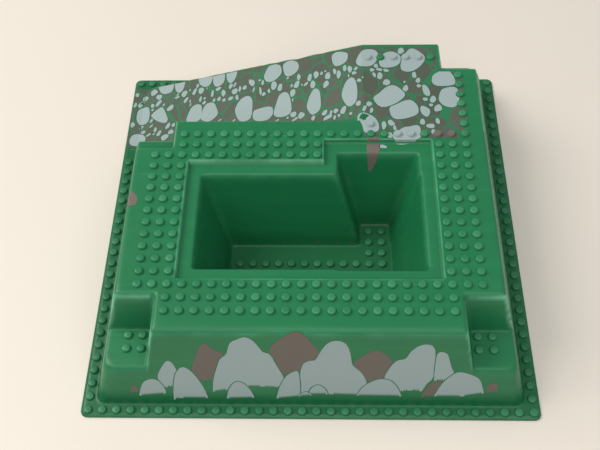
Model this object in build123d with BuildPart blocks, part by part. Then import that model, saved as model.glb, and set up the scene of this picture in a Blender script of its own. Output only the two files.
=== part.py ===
from build123d import *
import os
from math import cos, hypot, pi, radians, sin, tan

# Raised, studded baseplate: one green vacuum-formed sheet that makes a low hill with a pit, four
# corner pads and a ramp, and two colours of ink printed on the ramp, the landing and the front wall.
# X runs along the front, Y from front to back, Z up. The origin is the middle of the flat underside.
# Places in plan are given on the stud grid: stud centres are the whole numbers from 0 to 31.

# Stud grid
pitch = 8.0
studs_across = 32
stud_radius = 2.4
stud_height = 1.7
brick = 9.6

# Sheet
sheet = 1.3
rim_corner = 3.5
stud_skin = 0.9

# Hill
deck_height = 6 * brick
pad_height = 3 * brick
outer_draft = 15.5
foot_margin = 8.0
hill_corner = 6.0
notch_corner = 3.0
deck_round = 2.5

# Corner pads, each as the grid place of its two inner feet and the sides it is open to
pad_draft = 11.8
pads = {
    "front_left": ((4.5, 4.5), (-1, -1)),
    "front_right": ((26.5, 4.5), (1, -1)),
    "back_right": ((26.5, 26.5), (1, 1)),
    "back_left": ((4.5, 18.5), (-1, 1)),
}

# Recess in the deck, and the pit in its floor
recess_depth = brick / 3
recess_draft = 5.0
recess = ((6.5, 6.5), (24.5, 6.5), (24.5, 18.5), (16.5, 18.5), (16.5, 16.5), (6.5, 16.5))
pit_draft = 14.4
pit_corner = 3.0
pit = ((7.5, 7.5), (23.5, 7.5), (23.5, 17.5), (17.5, 17.5), (17.5, 15.5), (7.5, 15.5))

# Ramp: it climbs along X behind the back wall of the deck
ramp_foot = 0.5
ramp_top = 19.5
ramp_front = 20.4

# Ink
ink = 0.1
ink_seat = 0.02
ink_gap = 0.7
stud_clearance = 0.05
cap_margin = 0.5
tooth = 1.3
tooth_depth = 1.8
pebble_points = 7
pebble_sway = 0.12
big_steps = 3
small_steps = 2

middle = (studs_across - 1) / 2
plate = studs_across * pitch
deck = sheet + deck_height
hill_width = plate - 2 * foot_margin
spare = 5.0


# ---------------------------------------------------------------- stud patterns


def block(columns, rows):
    """The grid places where the given columns and rows cross."""
    return [(i, j) for j in rows for i in columns]


last = studs_across - 1
rim_studs = (
    block(range(studs_across), [0, last])
    + block([last], range(1, last))
    + block([0], range(1, 23))
)
deck_studs = (
    block(range(6, 26), [4, 5])
    + block(range(4, 28), [6])
    + block([4, 5, 6, 25, 26, 27], range(7, 17))
    + block([*range(4, 17), 25, 26, 27], [17])
    + block([*range(6, 17), 25, 26, 27], [18])
    + block(range(6, 28), [19])
    + block([27], range(20, 26))
    + block(range(20, 26), [27])
    + [(20, 20)]
)
pad_studs = (
    block([3, 4], [3, 4]) + block([27, 28], [3, 4]) + block([27, 28], [27, 28]) + block([3, 4], [19, 20])
)
pit_studs = block(range(10, 22), [12]) + block([20, 21], [13, 14, 15])
stud_levels = {
    sheet: rim_studs + pit_studs,
    sheet + pad_height: pad_studs,
    deck: deck_studs,
}


# ---------------------------------------------------------------- the formed sheet


def mm(place):
    """A place along the stud grid, in millimetres from the middle of the plate."""
    return (place - middle) * pitch


def shift(draft, skin):
    """How far a drafted wall moves in, on top of moving down by the skin, to leave a wall of the skin."""
    slope = radians(draft)
    return skin * (1 - sin(slope)) / cos(slope)


def upright(shape, height):
    """The edges of a shape that climb its whole height, such as the corners between its walls."""
    return shape.edges().filter_by(lambda edge: edge.bounding_box().size.Z > 0.9 * height)


def notch_space(foot, side, skin):
    """The space over a corner pad, up past the deck. Its two walls lean away from the pad."""
    grow = shift(pad_draft, skin)
    centre = tuple(mm(foot[k]) + side[k] * (plate / 2 - grow) for k in (0, 1))
    with BuildPart() as space:
        with BuildSketch(Plane.XY.offset(pad_height)):
            with Locations(centre):
                Rectangle(plate, plate)
        extrude(amount=deck_height - pad_height + spare, taper=-pad_draft)
    return space.part


def sunk_space(outline, level, depth, draft, corner, skin):
    """The space of a pocket with drafted walls, from its mouth at the level down by the depth."""
    with BuildPart() as space:
        with BuildSketch(Plane.XY.offset(level)):
            with BuildLine():
                Polyline(*[(mm(x), mm(y)) for x, y in outline], close=True)
            make_face()
            if skin:
                offset(amount=shift(draft, skin), kind=Kind.INTERSECTION)
        extrude(amount=-depth, taper=draft)
        if corner:
            fillet(upright(space, depth), corner)
    return space.part


def ramp_space(skin):
    """The space above the ramp and the ground at its foot, behind the back wall of the deck."""
    wall = mm(ramp_front) - shift(outer_draft, skin)
    lean = tan(radians(outer_draft))
    with BuildPart() as space:
        with BuildSketch(Plane.YZ.offset(-plate)):
            with BuildLine():
                Polyline(
                    (wall - spare * lean, deck_height + spare),
                    (wall + (deck_height + spare) * lean, -spare),
                    (plate, -spare),
                    (plate, deck_height + spare),
                    close=True,
                )
            make_face()
        extrude(amount=plate + mm(ramp_top))
        with BuildSketch(Plane.XZ.offset(-plate)):
            with BuildLine():
                Polyline(
                    (-plate, 0),
                    (mm(ramp_foot), 0),
                    (mm(ramp_top), deck_height),
                    (mm(ramp_top), deck_height + spare),
                    (-plate, deck_height + spare),
                    close=True,
                )
            make_face()
        extrude(amount=2 * plate, mode=Mode.INTERSECT)
    return space.part


def outside_recess(edge):
    """True for an edge of the deck that isn't one of the recess's."""
    point = edge @ 0.5
    return not (
        mm(recess[0][0]) - spare < point.X < mm(recess[1][0]) + spare
        and mm(recess[0][1]) - spare < point.Y < mm(recess[2][1]) + spare
    )


def landform(skin, rounding):
    """The hill from the plate's top face up. With a skin, it is the hollow that the sheet leaves."""
    width = hill_width - 2 * shift(outer_draft, skin)
    with BuildPart() as hill:
        with BuildSketch():
            Rectangle(width, width)
        extrude(amount=deck_height, taper=outer_draft)
        fillet(upright(hill, deck_height), hill_corner)
        for foot, side in pads.values():
            add(notch_space(foot, side, skin), mode=Mode.SUBTRACT)
        add(ramp_space(skin), mode=Mode.SUBTRACT)
        add(sunk_space(recess, deck_height, recess_depth, recess_draft, 0, skin), mode=Mode.SUBTRACT)
        pit_depth = deck_height - recess_depth
        add(sunk_space(pit, pit_depth, pit_depth, pit_draft, pit_corner, skin), mode=Mode.SUBTRACT)
        walls = upright(hill, deck_height - pad_height).filter_by(outside_recess)
        halfway = (deck_height + pad_height) / 2
        fillet(walls.filter_by_position(Axis.Z, halfway - 1, halfway + 1), notch_corner)
        brink = hill.edges().filter_by(Plane.XY).filter_by(outside_recess)
        fillet(brink.filter_by_position(Axis.Z, deck_height - 0.01, deck_height + 0.01), rounding)
    return hill.part


def stud_places(places):
    """Stud centres in millimetres."""
    return [(mm(i), mm(j)) for i, j in places]


with BuildPart() as formed_sheet:
    with BuildSketch():
        RectangleRounded(plate, plate, rim_corner)
    extrude(amount=sheet)
    add(landform(0, deck_round).moved(Location((0, 0, sheet))))
    add(landform(sheet, deck_round - sheet), mode=Mode.SUBTRACT)
    for level, places in stud_levels.items():
        with BuildSketch(Plane.XY.offset(level)):
            with Locations(*stud_places(places)):
                Circle(stud_radius)
        extrude(amount=stud_height)
        with BuildSketch(Plane.XY.offset(level - sheet)):
            with Locations(*stud_places(places)):
                Circle(stud_radius - stud_skin)
        extrude(amount=sheet + stud_height - stud_skin, mode=Mode.SUBTRACT)


# ---------------------------------------------------------------- the ink on the ramp and the landing

# The printable field in plan: the ground beside the ramp's foot, the ramp, and the landing at its top.
ink_field = (
    (-0.42, 23.8), (4.0, 22.6), (18.9, 20.85), (ramp_top, ramp_front + 0.05), (ramp_top, ramp_front),
    (18.9, ramp_front), (18.9, 18.65), (27.3, 18.65), (27.3, 25.45),
    (25.45, 25.45), (25.45, 28.15), (19.5, 28.3), (0.5, 30.35), (-0.42, 30.5),
)  # fmt: skip

# Large pale stones, each a smooth closed outline through a few points in plan
path_stones = (
    ((0.55, 28.15), (1.0, 28.05), (1.22, 27.3), (1.2, 26.4), (0.85, 26.12), (0.35, 26.25),
     (0.05, 26.9), (0.1, 27.85)),
    ((1.42, 27.05), (2.1, 27.6), (2.45, 27.5), (2.85, 26.6), (3.05, 25.95), (2.85, 25.65),
     (2.2, 26.0), (1.6, 26.6)),
    ((-0.25, 24.4), (-0.1, 24.95), (0.35, 25.15), (0.85, 24.95), (1.2, 24.45), (1.0, 23.95),
     (0.4, 23.8), (-0.1, 23.95)),
    ((1.8, 30.4), (3.1, 30.4), (3.2, 29.7), (3.05, 29.2), (2.6, 29.1), (2.15, 29.3), (1.85, 29.8)),
    ((3.35, 30.3), (4.2, 30.25), (4.22, 29.4), (4.05, 28.9), (3.75, 28.8), (3.45, 29.2),
     (3.32, 29.8)),
    ((5.6, 30.0), (6.75, 29.95), (6.8, 29.2), (6.6, 28.7), (6.3, 28.6), (5.85, 28.9), (5.6, 29.4)),
    ((6.95, 29.9), (7.85, 29.85), (7.95, 28.9), (7.8, 28.42), (7.45, 28.25), (7.15, 28.35),
     (6.92, 28.9)),
    ((8.15, 29.8), (8.98, 29.7), (9.0, 28.95), (8.8, 28.4), (8.55, 28.2), (8.3, 28.45),
     (8.12, 29.0)),
    ((4.82, 25.2), (4.9, 25.9), (5.15, 26.6), (5.6, 26.82), (6.05, 26.55), (6.13, 25.8),
     (6.02, 24.95), (5.3, 24.8)),
    ((6.1, 25.0), (6.2, 25.9), (6.45, 26.5), (6.85, 26.6), (7.2, 26.4), (7.45, 25.8),
     (7.6, 25.0), (6.9, 24.45)),
    ((9.12, 24.8), (9.25, 25.5), (9.6, 26.05), (10.1, 26.2), (10.45, 25.9), (10.6, 25.2),
     (10.5, 23.6), (9.6, 23.6)),
    ((10.7, 24.2), (11.0, 24.4), (11.9, 24.4), (12.32, 24.1), (12.35, 23.4), (11.9, 22.95),
     (11.1, 23.1), (10.72, 23.5)),
    ((12.45, 23.3), (12.6, 24.4), (12.85, 25.3), (13.25, 25.5), (13.6, 25.2), (13.82, 24.3),
     (13.85, 23.1), (13.1, 22.85)),
    ((11.45, 27.9), (11.65, 28.6), (11.9, 28.98), (12.45, 28.95), (12.85, 28.6), (12.93, 27.7),
     (12.3, 27.1), (11.7, 27.25)),
    ((13.05, 28.5), (13.35, 28.9), (13.9, 28.85), (14.35, 28.35), (14.35, 27.6), (13.8, 27.15),
     (13.3, 27.35)),
    ((15.15, 23.1), (15.22, 23.9), (15.45, 24.6), (15.75, 25.0), (16.1, 24.7), (16.22, 23.9),
     (16.2, 22.7), (15.6, 22.25)),
    ((17.9, 23.3), (18.02, 24.3), (18.35, 25.0), (18.7, 25.15), (18.98, 24.7), (19.1, 23.6),
     (18.98, 22.5), (18.4, 22.15)),
    ((17.12, 28.05), (17.45, 28.4), (18.0, 28.25), (18.42, 27.85), (18.3, 27.1), (17.75, 26.8),
     (17.3, 27.0)),
    ((19.05, 26.7), (19.35, 27.5), (19.75, 27.9), (20.5, 27.9), (20.85, 27.4), (20.65, 26.6),
     (20.2, 26.1), (19.4, 26.1)),
    ((20.87, 26.5), (21.1, 27.2), (21.55, 27.62), (22.15, 27.62), (22.62, 27.1), (22.5, 26.35),
     (21.9, 25.95), (21.1, 25.95)),
    ((22.72, 26.9), (23.05, 27.5), (23.45, 28.0), (23.95, 27.85), (24.58, 27.0), (24.1, 26.0),
     (23.3, 25.45), (22.6, 25.7)),
    ((24.95, 24.3), (25.05, 25.0), (25.5, 25.4), (26.0, 25.6), (26.45, 25.4), (26.75, 24.6),
     (26.6, 24.02), (25.4, 23.9)),
    ((25.35, 22.4), (25.45, 23.1), (25.75, 23.6), (26.6, 23.8), (26.93, 23.3), (26.85, 22.2),
     (26.4, 21.68), (25.7, 21.85)),
    ((20.3, 22.6), (20.8, 23.2), (21.35, 23.8), (21.9, 24.0), (22.4, 23.65), (22.78, 22.95),
     (22.0, 22.1), (20.9, 21.72)),
    ((21.5, 21.6), (22.0, 21.98), (22.7, 22.38), (23.25, 22.4), (23.68, 21.8), (23.6, 21.0),
     (22.6, 20.55), (21.75, 20.6)),
    ((19.05, 20.9), (19.35, 21.2), (19.85, 21.05), (20.4, 20.6), (20.65, 19.9), (20.5, 19.3),
     (19.6, 19.15), (19.38, 19.9)),
    ((21.75, 18.8), (22.15, 19.4), (22.9, 19.75), (23.6, 19.88), (23.75, 19.35), (23.4, 18.6),
     (22.5, 18.3), (21.75, 18.4)),
)  # fmt: skip

# Small pale cobbles: place in plan, half width, half length, and turn in degrees
path_cobbles = (
    (-0.22, 29.7, 0.17, 0.25, 0), (0.6, 29.2, 0.28, 0.3, 0), (1.35, 29.7, 0.33, 0.36, 15),
    (1.92, 28.95, 0.27, 0.34, -30), (0.27, 28.55, 0.22, 0.42, 28), (-0.25, 28.5, 0.14, 0.3, 10),
    (1.95, 28.22, 0.2, 0.4, 35), (1.4, 28.1, 0.18, 0.25, -20), (1.45, 27.6, 0.13, 0.14, 0),
    (2.47, 27.85, 0.1, 0.17, 30), (3.15, 27.25, 0.28, 0.36, 35), (1.5, 26.35, 0.14, 0.25, 25),
    (0.62, 25.8, 0.17, 0.24, 30), (0.87, 25.22, 0.22, 0.2, 30), (-0.2, 26.2, 0.2, 0.3, 0),
    (1.55, 25.7, 0.1, 0.2, 45), (2.0, 25.15, 0.15, 0.27, 0), (1.4, 24.75, 0.12, 0.26, 65),
    (1.92, 24.7, 0.08, 0.15, 60), (2.4, 24.62, 0.19, 0.33, 18), (2.98, 24.0, 0.32, 0.36, 50),
    (3.5, 24.42, 0.28, 0.24, 30), (3.15, 25.2, 0.2, 0.34, 20), (3.65, 25.15, 0.15, 0.23, 0),
    (3.7, 28.62, 0.14, 0.13, 0), (3.68, 28.3, 0.24, 0.14, 0), (4.32, 28.5, 0.26, 0.38, 12),
    (4.55, 27.68, 0.17, 0.34, 25), (4.82, 28.75, 0.1, 0.12, 0), (4.95, 27.4, 0.07, 0.2, 0),
    (5.02, 26.98, 0.07, 0.2, 10), (5.27, 28.4, 0.17, 0.4, 12), (5.5, 29.02, 0.13, 0.24, 15),
    (5.87, 28.32, 0.25, 0.38, 0), (6.4, 28.38, 0.06, 0.11, 0), (5.9, 27.3, 0.12, 0.33, 0),
    (6.27, 27.28, 0.11, 0.15, 0), (6.27, 26.78, 0.16, 0.22, 20), (6.95, 27.58, 0.13, 0.4, 0),
    (7.15, 26.72, 0.13, 0.24, 10), (7.45, 27.95, 0.26, 0.2, -25), (7.95, 27.3, 0.19, 0.4, -8),
    (7.6, 26.74, 0.17, 0.25, 0), (8.05, 26.46, 0.15, 0.2, 0), (8.55, 27.87, 0.17, 0.3, 15),
    (8.92, 27.9, 0.11, 0.28, 18), (8.95, 27.13, 0.26, 0.34, 0), (9.4, 27.25, 0.13, 0.32, 0),
    (9.82, 27.25, 0.19, 0.25, 0), (8.65, 26.43, 0.26, 0.2, -10), (9.2, 26.35, 0.13, 0.34, -12),
    (10.42, 27.6, 0.24, 0.45, -25), (10.62, 26.72, 0.08, 0.3, 15), (11.1, 27.62, 0.13, 0.12, 0),
    (11.37, 27.25, 0.11, 0.3, 0), (11.22, 26.35, 0.11, 0.48, -8), (11.52, 25.9, 0.18, 0.2, 0),
    (11.95, 26.1, 0.11, 0.25, -10), (12.35, 26.58, 0.26, 0.5, -5), (12.88, 26.15, 0.21, 0.42, 0),
    (13.5, 26.98, 0.12, 0.13, 0), (14.42, 26.75, 0.15, 0.36, 0), (13.85, 26.0, 0.1, 0.19, 0),
    (14.27, 25.97, 0.23, 0.4, 12), (13.95, 25.18, 0.22, 0.42, 5), (13.97, 24.4, 0.06, 0.2, 0),
    (14.05, 22.82, 0.25, 0.3, 0), (13.6, 22.62, 0.1, 0.13, 0), (12.75, 22.62, 0.18, 0.09, -25),
    (14.2, 22.27, 0.27, 0.13, -30), (9.1, 23.85, 0.18, 0.09, -35), (7.85, 24.3, 0.16, 0.09, -20),
    (15.33, 26.35, 0.18, 0.43, 3), (15.03, 25.76, 0.13, 0.24, 45), (14.7, 25.8, 0.06, 0.13, 0),
    (15.85, 26.5, 0.21, 0.4, 0), (15.6, 25.5, 0.22, 0.43, -5), (16.3, 26.48, 0.12, 0.18, 0),
    (16.6, 26.6, 0.08, 0.12, 0), (16.8, 26.0, 0.23, 0.4, -5), (16.65, 25.15, 0.22, 0.38, 18),
    (17.35, 26.3, 0.13, 0.34, -8), (17.67, 25.85, 0.18, 0.45, 0), (18.15, 26.36, 0.14, 0.37, 0),
    (18.55, 26.1, 0.18, 0.38, -5), (19.03, 25.98, 0.15, 0.2, 20), (18.88, 25.56, 0.2, 0.17, 20),
    (18.45, 25.4, 0.06, 0.2, 0), (19.25, 24.62, 0.15, 0.22, -30), (19.54, 24.85, 0.07, 0.1, 0),
    (14.7, 22.5, 0.28, 0.33, 0), (16.55, 22.15, 0.2, 0.3, 20), (15.65, 21.9, 0.15, 0.27, 12),
    (16.8, 21.6, 0.4, 0.2, -22), (17.04, 22.0, 0.1, 0.26, 12), (17.42, 22.05, 0.2, 0.24, 0),
    (17.32, 21.4, 0.1, 0.24, 10), (17.66, 21.5, 0.11, 0.16, 0), (18.0, 21.93, 0.21, 0.42, 14),
    (18.55, 21.4, 0.12, 0.15, 20), (19.15, 22.23, 0.2, 0.27, 0), (19.6, 21.6, 0.14, 0.34, 18),
    (19.97, 22.05, 0.24, 0.25, 0), (20.13, 21.4, 0.13, 0.29, 15), (22.67, 27.75, 0.25, 0.38, 25),
    (20.3, 25.65, 0.2, 0.18, 0), (20.62, 26.1, 0.17, 0.25, -15), (20.87, 25.7, 0.26, 0.15, 15),
    (21.4, 25.6, 0.24, 0.16, 15), (20.45, 25.13, 0.13, 0.28, -12), (20.9, 25.0, 0.23, 0.38, 0),
    (21.4, 24.3, 0.31, 0.32, 0), (22.8, 24.35, 0.09, 0.12, 0), (22.83, 23.62, 0.22, 0.4, 20),
    (23.6, 25.08, 0.18, 0.35, -5), (23.87, 24.5, 0.19, 0.28, 10), (23.9, 23.92, 0.2, 0.17, 0),
    (24.43, 23.42, 0.28, 0.62, -16), (24.3, 22.52, 0.19, 0.18, 0), (24.9, 22.5, 0.25, 0.36, 10),
    (24.7, 21.93, 0.16, 0.15, 0), (24.22, 21.3, 0.37, 0.55, -18), (25.22, 21.6, 0.3, 0.38, 30),
    (23.95, 20.22, 0.21, 0.3, -5), (25.1, 20.3, 0.17, 0.3, -12), (24.52, 19.82, 0.32, 0.24, 0),
    (24.75, 19.2, 0.2, 0.3, -30), (21.02, 19.9, 0.18, 0.42, 5), (21.58, 20.12, 0.24, 0.33, -35),
    (21.83, 19.63, 0.13, 0.25, -10), (21.4, 18.93, 0.22, 0.3, 0),
)  # fmt: skip

# Dark stones: place in plan, half width, half length, and turn in degrees
path_darks = (
    (0.25, 30.2, 0.55, 0.26, 0), (0.95, 28.75, 0.3, 0.55, 10), (1.0, 30.2, 0.4, 0.15, 0),
    (0.0, 25.6, 0.4, 0.45, 0), (1.1, 25.75, 0.3, 0.45, 0), (1.6, 25.25, 0.26, 0.36, 0),
    (1.75, 24.35, 0.5, 0.3, -20), (2.65, 25.25, 0.26, 0.45, 0), (2.9, 24.75, 0.25, 0.3, 0),
    (3.75, 24.0, 0.25, 0.4, 0), (2.65, 28.5, 0.35, 0.5, 0), (3.2, 28.2, 0.3, 0.45, 0),
    (3.45, 26.3, 0.3, 0.75, 10), (4.35, 26.35, 0.48, 1.05, 5), (4.2, 27.65, 0.3, 0.55, 10),
    (4.9, 29.5, 0.48, 0.62, 0), (5.45, 27.45, 0.3, 0.6, 15), (6.5, 27.85, 0.4, 0.4, 0),
    (6.7, 27.1, 0.26, 0.42, 0), (7.4, 27.35, 0.26, 0.4, 0), (8.05, 28.05, 0.25, 0.35, 0),
    (8.42, 27.25, 0.25, 0.5, 0), (7.95, 25.15, 0.35, 1.05, 8), (8.7, 25.1, 0.42, 1.08, 5),
    (9.82, 28.55, 0.58, 0.85, 5), (11.05, 28.6, 0.5, 0.72, 10), (9.75, 26.6, 0.32, 0.38, 0),
    (10.3, 26.5, 0.25, 0.4, 0), (11.0, 26.95, 0.24, 0.6, 0), (11.8, 26.75, 0.25, 0.45, 0),
    (11.3, 25.1, 0.52, 0.62, 0), (12.3, 25.05, 0.33, 0.75, 0), (12.95, 27.1, 0.3, 0.35, 0),
    (13.55, 26.2, 0.3, 0.6, 0), (14.05, 27.0, 0.28, 0.45, 0), (14.65, 24.15, 0.47, 1.2, 3),
    (14.9, 26.8, 0.27, 0.6, 0), (15.25, 27.75, 0.55, 0.78, 10), (16.55, 27.6, 0.42, 0.75, 0),
    (17.2, 23.75, 0.68, 1.3, 0), (16.25, 25.8, 0.24, 0.6, 0), (17.2, 25.35, 0.3, 0.5, 0),
    (18.1, 25.5, 0.3, 0.5, 0), (17.1, 26.75, 0.25, 0.35, 0), (18.95, 27.3, 0.36, 0.8, -15),
    (20.15, 23.55, 0.85, 1.2, -10), (19.65, 25.6, 0.35, 0.5, 0), (21.6, 25.0, 0.5, 0.36, 0),
    (22.85, 25.1, 0.5, 0.32, 0), (22.4, 24.3, 0.36, 0.36, 0), (23.4, 24.2, 0.28, 0.6, 0),
    (24.85, 26.05, 0.85, 0.62, 35), (25.0, 26.2, 0.4, 0.75, -20), (24.7, 24.7, 0.3, 0.5, 0),
    (25.25, 23.3, 0.26, 0.45, 0), (23.75, 22.85, 0.3, 0.35, 0), (23.2, 22.8, 0.25, 0.25, 0),
    (20.75, 20.95, 0.3, 0.7, 0), (21.25, 21.2, 0.24, 0.6, 0), (22.7, 20.15, 0.75, 0.33, 5),
    (24.6, 20.55, 0.3, 0.4, 0), (25.3, 20.9, 0.25, 0.4, 0), (26.2, 20.9, 0.62, 0.7, 0),
    (26.1, 19.6, 0.62, 0.62, 0), (20.2, 18.95, 0.35, 0.35, 0), (24.15, 19.2, 0.35, 0.35, 0),
    (18.2, 20.75, 0.75, 0.45, -8), (19.1, 21.6, 0.25, 0.3, 0), (18.65, 21.95, 0.25, 0.3, 0),
    (16.2, 21.7, 0.3, 0.35, 0), (13.2, 22.45, 0.5, 0.2, -20), (15.2, 22.1, 0.22, 0.3, 0),
)  # fmt: skip


def pebble(place_x, place_y, half_width, half_length, turn):
    """An uneven oval outline on the stud grid, whose points sway with the stone's own place."""
    points = []
    for k in range(pebble_points):
        sway = 1 + pebble_sway * sin(5 * place_x + 3 * place_y + 2.4 * k)
        across = half_width * sway * cos(2 * pi * k / pebble_points)
        along = half_length * sway * sin(2 * pi * k / pebble_points)
        lean = radians(-turn)
        points.append((
            place_x + across * cos(lean) - along * sin(lean),
            place_y + across * sin(lean) + along * cos(lean),
        ))
    return points


def spread(points, gap):
    """An outline whose points have moved out from its middle by the gap."""
    cx = sum(x for x, y in points) / len(points)
    cy = sum(y for x, y in points) / len(points)
    moved = []
    for x, y in points:
        reach = hypot(x - cx, y - cy)
        moved.append((cx + (x - cx) * (1 + gap / reach), cy + (y - cy) * (1 + gap / reach)))
    return moved


def between(p0, p1, p2, p3, share):
    """The place between p1 and p2 on the smooth curve that also runs through p0 and p3."""
    return tuple(
        b + share * ((c - a) + share * ((2 * a - 5 * b + 4 * c - d) + share * (3 * (b - c) + d - a))) / 2
        for a, b, c, d in zip(p0, p1, p2, p3)
    )


def rounded(points, steps, closed=True):
    """Short straight steps along a smooth curve through the points."""
    count = len(points)
    if closed:
        line = [points[k % count] for k in range(-1, count + 2)]
    else:
        line = [points[0], *points, points[-1]]
    curve = [
        between(*line[k : k + 4], step / steps) for k in range(len(line) - 3) for step in range(steps)
    ]
    return curve if closed else [*curve, points[-1]]


def smooth_face(points, steps, mode=Mode.ADD):
    """A face inside a smooth closed outline through the points, added to the sketch or cut from it."""
    with BuildLine() as rim:
        Polyline(*rounded(points, steps), close=True)
    make_face(rim.edges(), mode=mode)


def plan_points(outline):
    """An outline on the stud grid, in millimetres."""
    return [(mm(x), mm(y)) for x, y in outline]


with BuildSketch() as field:
    with BuildLine():
        Polyline(*plan_points(ink_field), close=True)
    make_face()

big_outlines = [plan_points(outline) for outline in path_stones]
small_outlines = [plan_points(pebble(*cobble)) for cobble in path_cobbles]
dark_outlines = [plan_points(pebble(*stone)) for stone in path_darks]

with BuildSketch() as big_stones:
    for outline in big_outlines:
        smooth_face(outline, big_steps)
with BuildSketch() as small_stones:
    for outline in small_outlines:
        smooth_face(outline, small_steps)
    for outline in big_outlines:
        smooth_face(spread(outline, ink_gap), big_steps, Mode.SUBTRACT)
with BuildSketch() as dark_stones:
    for outline in dark_outlines:
        smooth_face(outline, small_steps)
    for outline in big_outlines:
        smooth_face(spread(outline, ink_gap), big_steps, Mode.SUBTRACT)
    for outline in small_outlines:
        smooth_face(spread(outline, ink_gap), small_steps, Mode.SUBTRACT)


def printed(plan):
    """A film of ink of the given plan, on the ground, the ramp and the landing, cut around the studs."""
    with BuildPart() as film:
        with BuildSketch(Plane.XZ.offset(-plate)):
            with BuildLine():
                Polyline(
                    (-plate, sheet + ink_seat),
                    (mm(ramp_foot), sheet + ink_seat),
                    (mm(ramp_top), deck + ink_seat),
                    (plate, deck + ink_seat),
                    (plate, deck + ink),
                    (mm(ramp_top), deck + ink),
                    (mm(ramp_foot), sheet + ink),
                    (-plate, sheet + ink),
                    close=True,
                )
            make_face()
        extrude(amount=plate - mm(ramp_front))
        with BuildSketch(Plane.XY.offset(deck + ink_seat)):
            with Locations((0, mm(ramp_front) - plate / 2)):
                Rectangle(2 * plate, plate)
        extrude(amount=ink - ink_seat)
        with BuildSketch():
            add(plan)
            add(field.sketch, mode=Mode.INTERSECT)
            with Locations(*stud_places(deck_studs)):
                Circle(stud_radius + stud_clearance, mode=Mode.SUBTRACT)
        extrude(amount=deck + spare, mode=Mode.INTERSECT)
    return film


def stud_caps(places):
    """Discs of ink on the tops of the studs that the print runs over."""
    with BuildPart() as caps:
        with BuildSketch(Plane.XY.offset(deck + stud_height)):
            with Locations(*stud_places(places)):
                Circle(stud_radius - cap_margin)
        extrude(amount=ink)
    return caps


path_stones_light = printed(big_stones.sketch)
path_cobbles_light = printed(small_stones.sketch)
path_stones_dark = printed(dark_stones.sketch)
stud_caps_light = stud_caps([(20, 27), (22, 27), (23, 27), (24, 27), (22, 19), (23, 19), (20, 20)])
stud_caps_dark = stud_caps([(26, 19), (25, 19)])


# ---------------------------------------------------------------- the ink on the front and left walls

# Boulders on the front wall, from the nearest to the furthest: the crown from left foot to right foot,
# and the points of the grassy foot from right to left between them. Along the grid, and up in pitches.
wall_light = (
    (((3.68, 0.85), (3.85, 1.55), (4.2, 2.3), (4.75, 2.58), (5.25, 2.35), (5.57, 1.5),
      (5.55, 1.1)), ()),
    (((6.05, 0.45), (6.15, 1.6), (6.45, 3.1), (7.0, 3.8), (7.6, 3.3), (8.2, 1.9), (8.47, 0.65)),
      ((6.6, 0.65),)),
    (((9.77, 0.62), (9.95, 1.5), (10.3, 2.15), (10.7, 2.38), (11.1, 2.1), (11.5, 1.4),
      (11.68, 0.72)), ()),
    (((14.72, 0.88), (14.95, 1.2), (15.25, 1.36), (15.5, 1.25), (15.68, 1.02)), ()),
    (((15.45, 1.1), (15.65, 1.75), (16.1, 2.08), (16.55, 1.75), (16.8, 1.15)), ()),
    (((18.75, 1.02), (19.2, 1.95), (19.9, 2.55), (20.5, 2.72), (21.1, 2.5), (21.6, 1.7),
      (21.85, 0.98)), ()),
    (((24.08, 1.0), (24.5, 2.25), (25.1, 3.15), (25.6, 3.45), (26.4, 3.2), (27.05, 2.65),
      (27.45, 1.35)), ((26.0, 1.0),)),
    (((13.22, 0.65), (13.5, 1.9), (14.0, 3.0), (14.6, 3.47), (14.8, 3.3), (14.88, 2.2),
      (14.88, 0.9)), ()),
    ((
        (14.96, 0.95), (14.9, 2.2), (14.93, 3.4), (15.15, 4.2), (15.55, 4.48), (15.95, 4.6),
        (16.3, 5.4), (16.75, 6.15),
        (17.35, 6.4), (17.95, 6.1), (18.25, 5.2), (18.42, 4.1), (19.0, 3.4), (19.4, 2.4),
        (19.3, 1.05),
    ), ((17.0, 1.15),)),
    (((5.62, 1.75), (5.2, 2.7), (5.6, 3.8), (6.05, 4.4), (6.4, 4.1), (6.6, 3.2), (6.6, 1.85)), ()),
    ((
        (8.85, 1.32), (9.0, 2.6), (9.3, 3.7), (9.6, 4.6), (10.05, 5.1), (10.35, 6.1),
        (10.9, 6.5), (11.35, 6.68),
        (11.85, 6.4), (12.25, 5.75), (12.5, 5.3), (12.95, 5.05), (13.35, 4.0), (13.8, 2.75),
        (13.8, 1.7),
    ), ((12.3, 1.9), (11.2, 1.9), (9.9, 1.55))),
    ((
        (23.95, 2.6), (23.9, 3.6), (23.9, 4.6), (23.95, 5.2), (24.2, 5.4), (24.6, 5.2),
        (24.8, 4.6), (25.0, 3.9),
        (25.2, 3.3), (24.9, 2.6),
    ), ()),
    ((
        (21.6, 1.35), (20.62, 2.6), (20.85, 3.7), (21.3, 4.5), (21.9, 4.75), (22.2, 5.4),
        (22.7, 5.95),
        (23.25, 6.1), (23.65, 5.85), (23.82, 5.1), (23.86, 3.0), (23.5, 2.3), (23.2, 1.5),
    ), ((22.4, 1.6),)),
)  # fmt: skip
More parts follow.
